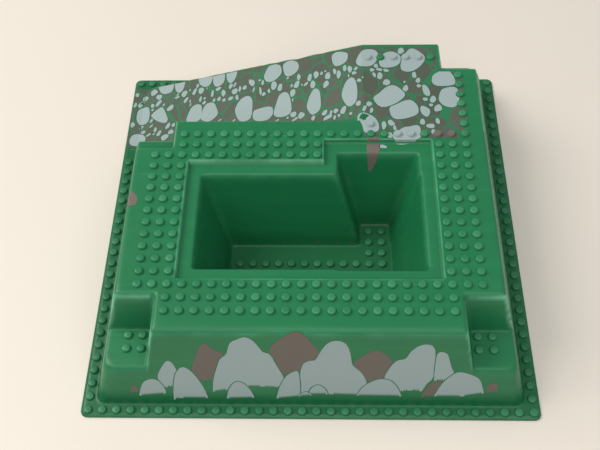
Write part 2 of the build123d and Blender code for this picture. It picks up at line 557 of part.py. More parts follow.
wall_dark = (
    (((23.2, 0.85), (23.35, 1.5), (23.7, 2.25), (24.2, 2.75), (24.7, 2.9), (24.8, 1.9),
      (24.3, 0.95)), ()),
    (((3.15, 1.2), (3.2, 1.6), (3.4, 1.93), (3.62, 1.8), (3.66, 1.25)), ()),
    (((27.6, 1.45), (27.62, 2.1), (27.95, 2.35), (28.3, 2.2), (28.35, 1.45)), ()),
    (((7.9, 2.45), (7.62, 3.6), (8.0, 4.85), (8.35, 5.8), (8.75, 6.07), (9.2, 5.6), (10.0, 4.7),
      (9.6, 2.45)), ()),
    ((
        (13.3, 3.0), (12.9, 5.2), (13.25, 6.1), (13.9, 6.75), (14.6, 7.2), (15.2, 6.95),
        (15.8, 6.0),
        (16.3, 5.0), (15.7, 3.2),
    ), ()),
    (((18.9, 2.4), (18.45, 4.1), (19.1, 5.0), (19.9, 5.5), (20.6, 5.1), (21.2, 4.0),
      (21.0, 2.4)), ()),
)  # fmt: skip

wall_slope = cos(radians(outer_draft))
wall_plane = Plane(
    origin=(0, -hill_width / 2, sheet),
    x_dir=(1, 0, 0),
    z_dir=(0, -wall_slope, sin(radians(outer_draft))),
).offset(ink_seat)


def wall_points(points):
    """Points on the front wall, in millimetres along it and up its slope."""
    return [(mm(x), up * pitch / wall_slope) for x, up in points]


def grass_line(feet):
    """A zigzag along the feet from first to last, whose teeth stand up like blades of grass."""
    zigzag = []
    for (x0, y0), (x1, y1) in zip(feet, feet[1:]):
        teeth = max(1, round(hypot(x1 - x0, y1 - y0) / tooth))
        for k in range(1, 2 * teeth + 1):
            share = k / (2 * teeth)
            rise = tooth_depth if k % 2 and 1 < k < 2 * teeth - 1 else 0
            zigzag.append((x0 + (x1 - x0) * share, y0 + (y1 - y0) * share + rise))
    return zigzag


def boulder_face(crown, feet):
    """A boulder's face in the sketch being built: a smooth crown closed by its grassy foot."""
    crown = wall_points(crown)
    grass = grass_line([crown[-1], *wall_points(feet), crown[0]])
    with BuildLine() as rim:
        Polyline(*rounded(crown, big_steps, closed=False), *grass[:-1], close=True)
    make_face(rim.edges())


def boulder_room(crown):
    """What a boulder cuts from those behind it: its crown, spread by the gap and closed straight."""
    crown = spread(wall_points(crown), ink_gap)
    with BuildLine() as rim:
        Polyline(*rounded(crown, big_steps, closed=False), close=True)
    make_face(rim.edges(), mode=Mode.SUBTRACT)


def wall_print(boulders, in_front):
    """A film of ink on the front wall, where each boulder is cut back from those in front of it."""
    faces = []
    for k, (crown, feet) in enumerate(boulders):
        with BuildSketch(wall_plane) as face:
            boulder_face(crown, feet)
            for nearer, _ in (*in_front, *boulders[:k]):
                boulder_room(nearer)
        faces.append(face.sketch_local)
    with BuildPart() as film:
        with BuildSketch(wall_plane):
            for face in faces:
                add(face)
        extrude(amount=ink - ink_seat)
    return film


wall_boulders_light = wall_print(wall_light, ())
wall_boulders_dark = wall_print(wall_dark, wall_light)


# ---------------------------------------------------------------- export

nodes = {
    "formed_sheet": formed_sheet,
    "path_stones_light": path_stones_light,
    "path_cobbles_light": path_cobbles_light,
    "path_stones_dark": path_stones_dark,
    "stud_caps_light": stud_caps_light,
    "stud_caps_dark": stud_caps_dark,
    "wall_boulders_light": wall_boulders_light,
    "wall_boulders_dark": wall_boulders_dark,
}
os.makedirs("parts", exist_ok=True)
for name, node in nodes.items():
    node.part.label = name
    export_step(node.part, f"parts/{name}.step")
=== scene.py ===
import math

import bpy
import numpy as np
from mathutils import Matrix, Vector


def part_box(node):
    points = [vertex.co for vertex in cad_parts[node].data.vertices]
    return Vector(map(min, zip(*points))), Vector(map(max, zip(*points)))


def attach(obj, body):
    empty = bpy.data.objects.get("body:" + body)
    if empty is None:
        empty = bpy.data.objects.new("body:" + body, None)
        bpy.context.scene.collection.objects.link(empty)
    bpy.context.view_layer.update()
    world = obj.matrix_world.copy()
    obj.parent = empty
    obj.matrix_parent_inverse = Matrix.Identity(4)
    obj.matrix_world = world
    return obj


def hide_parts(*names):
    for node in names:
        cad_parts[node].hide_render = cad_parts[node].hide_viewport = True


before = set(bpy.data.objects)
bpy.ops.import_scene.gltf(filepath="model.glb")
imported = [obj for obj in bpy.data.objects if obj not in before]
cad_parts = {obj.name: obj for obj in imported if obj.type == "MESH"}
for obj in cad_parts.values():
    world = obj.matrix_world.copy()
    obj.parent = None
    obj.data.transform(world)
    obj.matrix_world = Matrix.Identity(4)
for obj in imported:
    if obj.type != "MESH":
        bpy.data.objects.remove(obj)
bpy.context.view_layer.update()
sheet_low, sheet_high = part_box("formed_sheet")

bl_info = {
    "name": "Raised studded baseplate",
    "version": (1, 0, 0),
    "blender": (4, 5, 0),
    "location": "3D View > Sidebar > Baseplate",
    "description": "Builds the formed sheet, its studs and its printed stones around the packed model",
    "category": "Object",
}

MILLIMETRE = 0.001
STUDS_ACROSS = 32
MIDDLE = (STUDS_ACROSS - 1) / 2

# Heights of the deck and the pads above the rim, in bricks, and how many recesses make up one brick
DECK_BRICKS = 6
PAD_BRICKS = 3
RECESSES_IN_BRICK = 3

# The two rectangles that make up the recess, and the pit in its floor: left, front, right and back sides,
# as places on the stud grid, where stud centres are the whole numbers from 0 to 31.
RECESS = ((6.5, 6.5, 24.5, 16.5), (16.5, 6.5, 24.5, 18.5))
PIT = ((7.5, 7.5, 23.5, 15.5), (17.5, 7.5, 23.5, 17.5))

# Each corner pad: the place of its two inner feet, and which way it opens
PADS = ((4.5, 4.5, -1, -1), (26.5, 4.5, 1, -1), (26.5, 26.5, 1, 1), (4.5, 18.5, -1, 1))


# ---------------------------------------------------------------- sizes and colours


def length(name, description, default):
    """A length in metres, shown in millimetres' precision."""
    return bpy.props.FloatProperty(
        name=name, description=description, default=default, unit="LENGTH", precision=4
    )


def angle(name, description, degrees):
    """An angle, given in degrees and kept in radians."""
    return bpy.props.FloatProperty(
        name=name, description=description, default=math.radians(degrees), unit="ROTATION"
    )


def colour(name, description, default):
    """A colour, as linear red, green and blue."""
    return bpy.props.FloatVectorProperty(
        name=name, description=description, default=default, subtype="COLOR", size=3, min=0, max=1
    )


class BaseplateSizes(bpy.types.PropertyGroup):
    """The sizes of the formed sheet and its studs."""

    pitch: length(
        "Stud pitch", "Distance between stud centres", (sheet_high.x - sheet_low.x) / STUDS_ACROSS
    )
    sheet: length("Sheet", "Thickness of the sheet", 1.3 * MILLIMETRE)
    rim_corner: length("Rim corner", "Radius of the plate's four corners", 3.5 * MILLIMETRE)
    foot_margin: length("Rim width", "From the plate's edge to the foot of the hill", 8 * MILLIMETRE)
    brick: length("Brick", "Height of one brick, which the levels are counted in", 9.6 * MILLIMETRE)
    stud_radius: length("Stud radius", "Radius of a stud's wall", 2.4 * MILLIMETRE)
    stud_height: length("Stud height", "Height of a stud above its floor", 1.7 * MILLIMETRE)
    hill_corner: length("Hill corner", "Reach of the rounding of the hill's outer corners", 7 * MILLIMETRE)
    notch_corner: length(
        "Pad corner", "Reach of the rounding in the inner corners of the pads", 2 * MILLIMETRE
    )
    edge_reach: length("Edge reach", "Height over which two outer walls run into each other", 6 * MILLIMETRE)
    brow_radius: length("Brow radius", "Radius of the deck's outer edge", 2.5 * MILLIMETRE)
    front_brow: length("Front brow radius", "Radius of the deck's front edge", 4 * MILLIMETRE)
    foot_radius: length("Foot radius", "Radius in the crease where a wall meets the rim", 1.2 * MILLIMETRE)
    lip_reach: length("Lip reach", "Height over which the pit's lip is rounded", 5 * MILLIMETRE)
    ramp_foot: bpy.props.FloatProperty(
        name="Ramp foot", description="Place along the stud grid where the ramp starts", default=0.5
    )
    ramp_top: bpy.props.FloatProperty(
        name="Ramp top", description="Place along the stud grid where the ramp meets the deck", default=19.5
    )
    ramp_front: bpy.props.FloatProperty(
        name="Ramp front",
        description="Place on the stud grid of the deck's edge above the ramp",
        default=20.4,
    )
    outer_draft: angle("Outer draft", "Lean of the hill's outer walls", 15.5)
    pad_draft: angle("Pad draft", "Lean of the walls over the pads", 11.8)
    recess_draft: angle("Recess draft", "Lean of the recess's walls", 5)
    pit_draft: angle("Pit draft", "Lean of the pit's walls", 14.4)


class BaseplateColours(bpy.types.PropertyGroup):
    """The colours of the plastic, the inks and the stage."""

    # Rim green and hill green: the sheet's green is darker low down and lighter higher up, set by height
    # alone
    rim_green: colour("Rim green", "The plastic where it is least stretched", (0.010, 0.125, 0.045))
    hill_green: colour("Hill green", "The plastic where it is stretched over the hill", (0.013, 0.175, 0.066))
    # Worn green: the lighter green of scratches and of convex edges; on the edges it is partly whitened
    # plastic and partly a painted highlight
    worn_and_highlight_green: colour("Worn green", "The whitened plastic of bent and rubbed edges", (0.15, 0.52, 0.31))
    dust: colour("Dust", "What gathers in the creases", (0.10, 0.11, 0.065))
    light_ink: colour("Light ink", "The pale stones and boulders", (0.330, 0.420, 0.405))
    light_ink_shade: colour("Light ink shade", "The pale ink where it is thinner", (0.280, 0.370, 0.350))
    dark_ink: colour("Dark ink", "The dark stones and boulders", (0.094, 0.104, 0.084))
    dark_ink_shade: colour(
        "Dark ink shade", "The dark ink where green shows through it", (0.070, 0.090, 0.062)
    )
    floor: colour("Floor", "The table top", (0.785, 0.730, 0.650))


# ---------------------------------------------------------------- the shape of the sheet


def smooth_min(a, b, reach):
    """The lower of a and b. Where they differ by less than the reach, the two run into each other on a
    parabola: the lower one less (reach - difference) squared over four reaches."""
    near = np.maximum(reach - np.abs(a - b), 0.0)
    return np.minimum(a, b) - near * near / (4 * reach)


def smooth_max(a, b, reach):
    """The higher of a and b, with the same rounding as smooth_min."""
    return -smooth_min(-a, -b, reach)


def rounded_step(distance, slope, radius):
    """A climb at the slope that ends level at distance 0, with a round of the radius between them.
    The round's centre lies radius x tan(half the turn) past the corner and one radius below it."""
    turn = np.arctan(slope)
    centre = radius * np.tan(turn / 2)
    start = centre - radius * np.sin(turn)
    arc = np.sqrt(np.maximum(radius**2 - (distance - centre) ** 2, 0.0)) - radius
    return np.where(distance < start, slope * distance, np.where(distance < centre, arc, 0.0))


def outside(x, y, rectangles, sizes, corner):
    """Distance out of the joined rectangles, negative inside: the least, over the rectangles, of the
    larger of the overshoots along X and Y. Corners are rounded over the given reach."""
    distance = np.full(np.shape(x), np.inf)
    for left, front, right, back in rectangles:
        half_x = (right - left) * sizes.pitch / 2
        half_y = (back - front) * sizes.pitch / 2
        over_x = np.abs(x - ((left + right) / 2 - MIDDLE) * sizes.pitch) - half_x
        over_y = np.abs(y - ((front + back) / 2 - MIDDLE) * sizes.pitch) - half_y
        overshoot = smooth_max(over_x, over_y, corner)
        distance = smooth_min(distance, overshoot, corner) if np.isfinite(distance).all() else overshoot
    return distance


def ground(x, y, sizes):
    """Height of the sheet's top face over the places x and y.

    Each wall is a plane that climbs at one over the tangent of its draft. The hill is the least of its
    outer walls, of the walls and floors of the corner pads, and of the ramp or the wall behind the deck,
    whichever of those two is higher. It is cut level at the deck, and the recess and the pit are cut
    into it in the same way. Every meeting of two of these is rounded."""
    deck = DECK_BRICKS * sizes.brick
    pad = PAD_BRICKS * sizes.brick
    ledge = deck - sizes.brick / RECESSES_IN_BRICK
    half = STUDS_ACROSS * sizes.pitch / 2 - sizes.foot_margin
    wall = 1 / math.tan(sizes.outer_draft)
    crease = 2 * MILLIMETRE
    hill = smooth_min(half - np.abs(x), half - np.abs(y), sizes.hill_corner) * wall
    for foot_x, foot_y, side_x, side_y in PADS:
        in_x = ((foot_x - MIDDLE) * sizes.pitch - x) * side_x
        in_y = ((foot_y - MIDDLE) * sizes.pitch - y) * side_y
        inward = smooth_max(in_x, in_y, sizes.notch_corner)
        over_pad = pad + smooth_max(inward / math.tan(sizes.pad_draft), 0.0, crease)
        hill = smooth_min(hill, over_pad, sizes.edge_reach)

    run = (sizes.ramp_top - sizes.ramp_foot) * sizes.pitch
    climb_slope = deck / run
    climb = (x - (sizes.ramp_foot - MIDDLE) * sizes.pitch) * climb_slope
    behind = deck + ((sizes.ramp_front - MIDDLE) * sizes.pitch - y) * wall
    back_land = smooth_max(np.maximum(climb, 0.0), behind, crease)
    blend = 4 * MILLIMETRE
    past_wall = np.clip((np.maximum(climb, 0.0) - behind) / blend, 0, 1)
    on_ramp = past_wall * np.clip((half - np.abs(y)) * wall / blend, 0, 1)
    slope = wall + (climb_slope - wall) * on_ramp
    land = smooth_min(hill, back_land, crease)

    front = np.clip((-y - half / 2) / (half / 4), 0, 1)
    brow = sizes.brow_radius + (sizes.front_brow - sizes.brow_radius) * front
    land = deck + rounded_step((land - deck) / slope, slope, brow)
    land = -rounded_step(-land / slope, slope, sizes.foot_radius)

    sharp = 0.3 * MILLIMETRE
    past_recess = outside(x, y, RECESS, sizes, sharp)
    recess = smooth_max(deck + past_recess / math.tan(sizes.recess_draft), ledge, crease)
    land = smooth_min(land, recess, crease)
    past_pit = outside(x, y, PIT, sizes, 1.5 * crease)
    pit = smooth_max(ledge + past_pit / math.tan(sizes.pit_draft), 0.0, 2 * crease)
    return sizes.sheet + smooth_min(land, pit, sizes.lip_reach)


def ground_normals(x, y, sizes):
    """Unit normals of the top face, from the height's change over a small step along X and Y."""
    step = 0.05 * MILLIMETRE
    slope_x = (ground(x + step, y, sizes) - ground(x - step, y, sizes)) / (2 * step)
    slope_y = (ground(x, y + step, sizes) - ground(x, y - step, sizes)) / (2 * step)
    normals = np.stack([-slope_x, -slope_y, np.ones_like(slope_x)], axis=-1)
    return normals / np.linalg.norm(normals, axis=-1, keepdims=True)


def prominence(x, y, sizes, reach):
    """How far the top face stands above the mean of its surroundings one reach away, per reach:
    positive along edges, negative in creases and 0 on flat ground and plain walls."""
    around = (
        ground(x + reach, y, sizes)
        + ground(x - reach, y, sizes)
        + ground(x, y + reach, sizes)
        + ground(x, y - reach, sizes)
    )
    return (4 * ground(x, y, sizes) - around) / (4 * reach)


def wall_places(sizes):
    """Places along X and along Y where a wall of the sheet starts or ends."""
    half = STUDS_ACROSS * sizes.pitch / 2 - sizes.foot_margin
    deck = DECK_BRICKS * sizes.brick
    pad = PAD_BRICKS * sizes.brick
    outer = [half, half - pad * math.tan(sizes.outer_draft), half - deck * math.tan(sizes.outer_draft)]
    rise = pad * math.tan(sizes.pad_draft) / sizes.pitch
    sink = (deck - sizes.brick / RECESSES_IN_BRICK) * math.tan(sizes.pit_draft) / sizes.pitch
    on_grid_x = [4.5, 4.5 + rise, 26.5, 26.5 - rise, 6.5, 16.5, 24.5, 7.5, 17.5, 23.5]
    on_grid_x += [7.5 + sink, 17.5 + sink, 23.5 - sink, sizes.ramp_top]
    on_grid_y = [4.5, 4.5 + rise, 18.5, 18.5 - rise, 26.5, 26.5 - rise, 6.5, 16.5, 7.5, 15.5, 17.5]
    on_grid_y += [7.5 + sink, 15.5 - sink, 17.5 - sink, sizes.ramp_front, 21.0, 21.6, 22.2]
    sides = outer + [-place for place in outer]
    along_x = sides + [(place - MIDDLE) * sizes.pitch for place in on_grid_x]
    along_y = sides + [(place - MIDDLE) * sizes.pitch for place in on_grid_y]
    return np.array(along_x), np.array(along_y)


# The sheet's grid: its lines each way, how much denser they are at a wall's edge, and over what distance
SHEET_LINES = 220
CROWDING = 4
CROWDING_REACH = 2.2 * MILLIMETRE


def crowded_lines(places, low, high, count):
    """Grid lines from low to high that crowd together near the places: even steps of the running total
    of a density that is 1, plus a bell round each place."""
    fine = np.linspace(low, high, 4096)
    gap = np.abs(fine[:, None] - places[None, :]).min(axis=1)
    density = 1 + CROWDING * np.exp(-((gap / CROWDING_REACH) ** 2))
    total = np.concatenate([[0], np.cumsum(density[1:])])
    return np.interp(np.linspace(0, total[-1], count), total, fine)


def rounded_plate(x, y, sizes):
    """Plan places pulled in at the plate's corners: in each corner square, a place keeps its larger
    offset from the square's inner corner and moves onto the circle of that radius."""
    inner = STUDS_ACROSS * sizes.pitch / 2 - sizes.rim_corner
    past_x = np.maximum(np.abs(x) - inner, 0.0)
    past_y = np.maximum(np.abs(y) - inner, 0.0)
    pull = np.maximum(past_x, past_y) / np.maximum(np.hypot(past_x, past_y), 1e-12)
    in_corner = (past_x > 0) & (past_y > 0)
    round_x = np.sign(x) * (inner + past_x * pull)
    round_y = np.sign(y) * (inner + past_y * pull)
    return np.where(in_corner, round_x, x), np.where(in_corner, round_y, y)


# ---------------------------------------------------------------- meshes


def grid_faces(rows, columns, start, wrap=False, flip=False):
    """Quads between the neighbouring points of a grid whose points run along its rows from start.
    With wrap, each row closes on itself. With flip, the faces look the other way."""
    quads_across = columns if wrap else columns - 1
    row, column = np.meshgrid(np.arange(rows - 1), np.arange(quads_across), indexing="ij")
    after = (column + 1) % columns
    this_row = row * columns
    next_row = this_row + columns
    corners = [this_row + column, this_row + after, next_row + after, next_row + column]
    if flip:
        corners.reverse()
    return start + np.stack(corners, axis=-1).reshape(-1, 4)


def add_piece(name, points, faces, material):
    """A mesh object of the points and faces that rides on the plate. Faces may differ in length."""
    mesh = bpy.data.meshes.new(name)
    mesh.from_pydata(points.tolist(), [], [list(map(int, face)) for face in faces])
    mesh.polygons.foreach_set("use_smooth", np.full(len(mesh.polygons), True))
    mesh.materials.append(material)
    mesh.update()
    if mesh.validate():
        raise RuntimeError(f"the mesh of {name} had faults")
    piece = bpy.data.objects.new(name, mesh)
    bpy.context.scene.collection.objects.link(piece)
    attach(piece, "root")
    return piece


def paint(piece, name, values):
    """Keeps one number for each point of a piece, for its material to read."""
    attribute = piece.data.attributes.new(name, "FLOAT", "POINT")
    attribute.data.foreach_set("value", np.asarray(values, np.float32).ravel())


def block(columns, rows):
    """The stud places where the given columns and rows cross."""
    return [(i, j) for j in rows for i in columns]


LAST = STUDS_ACROSS - 1
RIM_STUDS = (
    block(range(STUDS_ACROSS), [0, LAST]) + block([LAST], range(1, LAST)) + block([0], range(1, 23))
)
DECK_STUDS = (
    block(range(6, 26), [4, 5])
    + block(range(4, 28), [6])
    + block([4, 5, 6, 25, 26, 27], range(7, 17))
    + block([*range(4, 17), 25, 26, 27], [17])
    + block([*range(6, 17), 25, 26, 27], [18])
    + block(range(6, 28), [19])
    + block([27], range(20, 26))
    + block(range(20, 26), [27])
    + [(20, 20)]
)
PAD_STUDS = block([3, 4, 27, 28], [3, 4]) + block([27, 28], [27, 28]) + block([3, 4], [19, 20])
PIT_STUDS = block(range(10, 22), [12]) + block([20, 21], [13, 14, 15])

# A stud's half section from its foot to the edge of its top: radius and height, as shares of the stud's
STUD_SECTION = ((1.12, -0.02), (0.985, 0.62), (0.87, 0.93), (0.70, 1.0))
STUD_SIDES = 16


def stud_mesh(places, level, sizes, swell=1.0):
    """Points, faces and lighter edges of one stud at each place, partly worn whitening and partly a painted
    highlight: the half section, swollen by a factor, carried round each stud's axis, and a flat cap."""
    section = np.array(STUD_SECTION) * (sizes.stud_radius * swell, sizes.stud_height * swell)
    around = np.arange(STUD_SIDES) * 2 * np.pi / STUD_SIDES
    ring = np.stack([np.cos(around), np.sin(around)], axis=-1)
    flat = section[:, None, 0, None] * ring[None]
    height = np.broadcast_to(section[:, None, 1, None], (len(section), STUD_SIDES, 1))
    stud = np.concatenate([flat, height], axis=-1).reshape(-1, 3)
    centres = (np.array(places, float) - MIDDLE) * sizes.pitch
    centres = np.concatenate([centres, np.full((len(centres), 1), level)], axis=1)
    points = (centres[:, None, :] + stud[None]).reshape(-1, 3)
    sides = grid_faces(len(section), STUD_SIDES, 0, wrap=True)
    cap = np.arange(len(stud) - STUD_SIDES, len(stud))
    faces = []
    for number in range(len(centres)):
        faces += [*(sides + number * len(stud)), cap + number * len(stud)]
    # Lightest at the shoulder: partly worn whitening, partly a painted highlight ring round the stud's top
    wear_and_highlight = np.tile(np.repeat([0.0, 0.25, 0.55, 0.35], STUD_SIDES), len(centres))
    return points, faces, wear_and_highlight


# ---------------------------------------------------------------- materials


def add_node(tree, kind, inputs=None, **settings):
    """A node of the kind with its settings. Each input is a value, or a socket to join it to."""
    node = tree.nodes.new(kind)
    for key, value in settings.items():
        setattr(node, key, value)
    for key, value in (inputs or {}).items():
        if isinstance(value, bpy.types.NodeSocket):
            tree.links.new(value, node.inputs[key])
        else:
            node.inputs[key].default_value = value
    return node


def noise(tree, scale, detail=3.0, stretch=(1, 1, 1), roughness=0.5):
    """Noise of the piece's own coordinates, with features about 1/scale metres wide."""
    place = add_node(tree, "ShaderNodeTexCoord").outputs["Object"]
    moved = add_node(tree, "ShaderNodeMapping", {"Vector": place, "Scale": stretch})
    texture = add_node(
        tree,
        "ShaderNodeTexNoise",
        {"Vector": moved.outputs[0], "Scale": scale, "Detail": detail, "Roughness": roughness},
    )
    return texture.outputs[0]


def between(tree, value, low, high, from_low=0.0, from_high=1.0):
    """The value mapped from one range onto another, and held at its ends."""
    inputs = {"Value": value, "From Min": from_low, "From Max": from_high, "To Min": low, "To Max": high}
    return add_node(tree, "ShaderNodeMapRange", inputs).outputs[0]


def times(tree, a, b):
    """The product of two values or sockets."""
    return add_node(tree, "ShaderNodeMath", {0: a, 1: b}, operation="MULTIPLY").outputs[0]


def blend_colour(tree, share, a, b):
    """Colour a turning into colour b as the share goes from 0 to 1."""
    mix = add_node(tree, "ShaderNodeMix", {0: share}, data_type="RGBA")
    for socket, value in ((mix.inputs[6], a), (mix.inputs[7], b)):
        if isinstance(value, bpy.types.NodeSocket):
            tree.links.new(value, socket)
        else:
            socket.default_value = (*value, 1)
    return mix.outputs[2]


def attribute(tree, name):
    """The number that a piece keeps at each of its points."""
    return add_node(tree, "ShaderNodeAttribute", attribute_name=name).outputs["Fac"]


def new_material(name):
    """A new material with its node tree and its shader."""
    material = bpy.data.materials.new(name)
    material.use_nodes = True
    shader = material.node_tree.nodes["Principled BSDF"]
    return material, material.node_tree, shader


def join(tree, shader, **sockets):
    """Joins sockets to the shader's inputs: colour, roughness and normal."""
    names = {"colour": "Base Color", "roughness": "Roughness", "normal": "Normal"}
    for key, socket in sockets.items():
        tree.links.new(socket, shader.inputs[names[key]])


def bump(tree, height, depth, strength=1.0, normal=None):
    """A bump of the height, at most the given depth in metres, on top of another normal."""
    inputs = {"Height": height, "Distance": depth, "Strength": strength}
    if normal:
        inputs["Normal"] = normal
    return add_node(tree, "ShaderNodeBump", inputs).outputs[0]


def green_plastic(colours):
    """Glossy green styrene, drawn out over a mould: darker green low down and lighter green higher up,
    lighter along bent edges, partly whitening and partly a painted highlight, with faint draw lines, fine
    scratches, a slight orange peel and dust in its creases."""
    material = bpy.data.materials.get("green_plastic")
    if material:
        return material
    material, tree, shader = new_material("green_plastic")
    # The green by height: darker low down, lighter higher up
    stretch = attribute(tree, "stretch")
    cloud = between(tree, noise(tree, 18, 4), 0, 1, 0.35, 0.65)
    colour = blend_colour(tree, stretch, colours.rim_green, colours.hill_green)
    darker = tuple(0.82 * value for value in colours.hill_green)
    colour = blend_colour(tree, times(tree, cloud, 0.28), colour, darker)

    draw_lines = between(tree, noise(tree, 10, 5, (1, 14, 14)), 0, 1, 0.52, 0.66)
    lighter = tuple(1.35 * value for value in colours.hill_green)
    colour = blend_colour(tree, times(tree, times(tree, draw_lines, stretch), 0.22), colour, lighter)

    # Lighter on convex edges and stud shoulders: partly rubbed, whitened plastic, partly a painted highlight
    rubbed = between(tree, noise(tree, 55, 5), 0.25, 1, 0.36, 0.62)
    colour = blend_colour(tree, times(tree, attribute(tree, "wear_and_highlight"), rubbed), colour, colours.worn_and_highlight_green)

    scratches = between(tree, noise(tree, 16, 6, (1.2, 30, 6), 0.7), 0, 1, 0.66, 0.72)
    colour = blend_colour(tree, times(tree, scratches, 0.25), colour, colours.worn_and_highlight_green)

    specks = between(tree, noise(tree, 420, 2), 0, 1, 0.60, 0.70)
    colour = blend_colour(tree, times(tree, attribute(tree, "dust"), specks), colour, colours.dust)

    peel = bump(tree, noise(tree, 260, 2), 0.00006)
    waves = bump(tree, noise(tree, 22, 2), 0.0006, 0.35, peel)
    scored = bump(tree, scratches, -0.00004, 0.6, waves)
    roughness = between(tree, noise(tree, 40, 4), 0.26, 0.40, 0.3, 0.7)
    join(tree, shader, colour=colour, roughness=roughness, normal=scored)
    shader.inputs["IOR"].default_value = 1.5
    shader.inputs["Specular IOR Level"].default_value = 0.35
    return material


def screen_ink(name, main, shade, cloud_scale):
    """Satin screen ink: slow clouds of thicker and thinner ink, a fine mesh grain and tiny pinholes."""
    material = bpy.data.materials.get(name)
    if material:
        return material
    material, tree, shader = new_material(name)
    cloud = between(tree, noise(tree, cloud_scale, 4), 0, 1, 0.36, 0.64)
    colour = blend_colour(tree, cloud, main, shade)
    pinholes = between(tree, noise(tree, 900, 1), 0, 0.5, 0.68, 0.76)
    darker = tuple(0.6 * value for value in shade)
    colour = blend_colour(tree, pinholes, colour, darker)
    grain = bump(tree, noise(tree, 1500, 1), 0.00003, 0.6)
    waves = bump(tree, noise(tree, 22, 2), 0.0004, 0.35, grain)
    roughness = between(tree, noise(tree, 60, 3), 0.42, 0.56, 0.3, 0.7)
    join(tree, shader, colour=colour, roughness=roughness, normal=waves)
    shader.inputs["IOR"].default_value = 1.5
    return material


def light_ink(colours):
    """The pale blue-grey ink of the light stones and boulders."""
    return screen_ink("light_ink", tuple(colours.light_ink), tuple(colours.light_ink_shade), 30)


def dark_ink(colours):
    """The brown-grey ink of the dark stones and boulders."""
    return screen_ink("dark_ink", tuple(colours.dark_ink), tuple(colours.dark_ink_shade), 45)


def cobbled_ink(colours):
    """The dark ink of the path: rough cells of dark stone with green seams between them."""
    material, tree, shader = new_material("cobbled_ink")
    place = add_node(tree, "ShaderNodeTexCoord").outputs["Object"]
    sway = add_node(tree, "ShaderNodeTexNoise", {"Vector": place, "Scale": 90.0, "Detail": 1.0})
    centred = add_node(
        tree, "ShaderNodeVectorMath", {0: sway.outputs["Color"], 1: (0.5, 0.5, 0.5)}, operation="SUBTRACT"
    )
    pushed = add_node(
        tree, "ShaderNodeVectorMath", {0: centred.outputs[0], 1: (0.004, 0.004, 0.0)}, operation="MULTIPLY"
    )
    moved = add_node(tree, "ShaderNodeVectorMath", {0: place, 1: pushed.outputs[0]}, operation="ADD")
    stretched = add_node(tree, "ShaderNodeMapping", {"Vector": moved.outputs[0], "Scale": (1.25, 0.8, 0.0)})
    cells = {"Vector": stretched.outputs[0], "Scale": 80.0, "Randomness": 0.85}
    seam = add_node(tree, "ShaderNodeTexVoronoi", cells, feature="DISTANCE_TO_EDGE").outputs["Distance"]
    cell = add_node(tree, "ShaderNodeTexVoronoi", cells, feature="F1").outputs["Color"]
    tone = add_node(tree, "ShaderNodeSeparateColor", {"Color": cell}).outputs[0]
    inked = between(tree, seam, 0, 1, 0.028, 0.040)
    dark = blend_colour(tree, tone, tuple(colours.dark_ink), tuple(colours.dark_ink_shade))
    cloud = between(tree, noise(tree, 45, 4), 0, 0.5, 0.36, 0.64)
    dark = blend_colour(tree, cloud, dark, tuple(colours.dark_ink_shade))
    colour = blend_colour(tree, inked, tuple(colours.hill_green), dark)
    grain = bump(tree, noise(tree, 1500, 1), 0.00003, 0.6)
    roughness = between(tree, noise(tree, 60, 3), 0.42, 0.56, 0.3, 0.7)
    join(tree, shader, colour=colour, roughness=roughness, normal=grain)
    shader.inputs["IOR"].default_value = 1.5
    return material


def table_top(colours):
    """A pale, matt table top with a faint unevenness."""
    material, tree, shader = new_material("table_top")
    darker = tuple(0.96 * value for value in colours.floor)
    colour = blend_colour(tree, noise(tree, 6, 3), tuple(colours.floor), darker)
    roughness = between(tree, noise(tree, 30, 2), 0.5, 0.62)
    join(tree, shader, colour=colour, roughness=roughness)
    return material


def dress(nodes, material):
    """Gives CAD nodes a material."""
    for name in nodes:
        for material_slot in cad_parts[name].material_slots:
            material_slot.material = material


# ---------------------------------------------------------------- print that follows the sheet

# The printed path in plan, as stud places along X with its front and back edges there
PATH_X = (-0.42, 4.0, 18.9, 19.4, 19.5, 25.4, 25.5, 27.3)
PATH_FRONT = (23.8, 22.6, 20.85, 20.6, 18.65, 18.65, 18.65, 18.65)
PATH_BACK = (30.5, 29.98, 28.36, 28.31, 28.3, 28.15, 25.45, 25.45)
PATH_COLUMNS = 300
PATH_ROWS = 120

# Height of the dark film over the sheet, width of the green outlines and their drop below the light ink,
# and height of the blots over the sheet
FILM_LIFT = 0.03 * MILLIMETRE
OUTLINE_WIDTH = 0.45 * MILLIMETRE
OUTLINE_DROP = 0.035 * MILLIMETRE
BLOT_LIFT = 0.12 * MILLIMETRE

# The most that an outline climbs or sinks on its way out from a stone, as a share of its width
STEEPEST_OUTLINE = 0.45


def path_mesh(sizes, lift):
    """Points and faces of the film of dark ink on the ramp and the landing: at each place along X, even
    steps from the path's front edge to its back edge, laid on the sheet's top face a hair above it."""
    place, share = np.meshgrid(
        np.linspace(PATH_X[0], PATH_X[-1], PATH_COLUMNS), np.linspace(0, 1, PATH_ROWS), indexing="ij"
    )
    front = np.interp(place, PATH_X, PATH_FRONT)
    back = np.interp(place, PATH_X, PATH_BACK)
    x = (place - MIDDLE) * sizes.pitch
    y = (front + share * (back - front) - MIDDLE) * sizes.pitch
    points = np.stack([x, y, ground(x, y, sizes)], axis=-1) + lift * ground_normals(x, y, sizes)
    return points.reshape(-1, 3), grid_faces(PATH_COLUMNS, PATH_ROWS, 0, flip=True)


def stone_numbers(corners, count):
    """A number for each point, the same within one joined stone: each point starts with its own number,
    and each triangle gives its three points the least of theirs until nothing changes."""
    number = np.arange(count)
    while True:
        least = number[corners].min(axis=1)
        lower = number.copy()
        np.minimum.at(lower, corners.ravel(), np.repeat(least, 3))
        lower = lower[lower]
        if (lower == number).all():
            return number
        number = lower


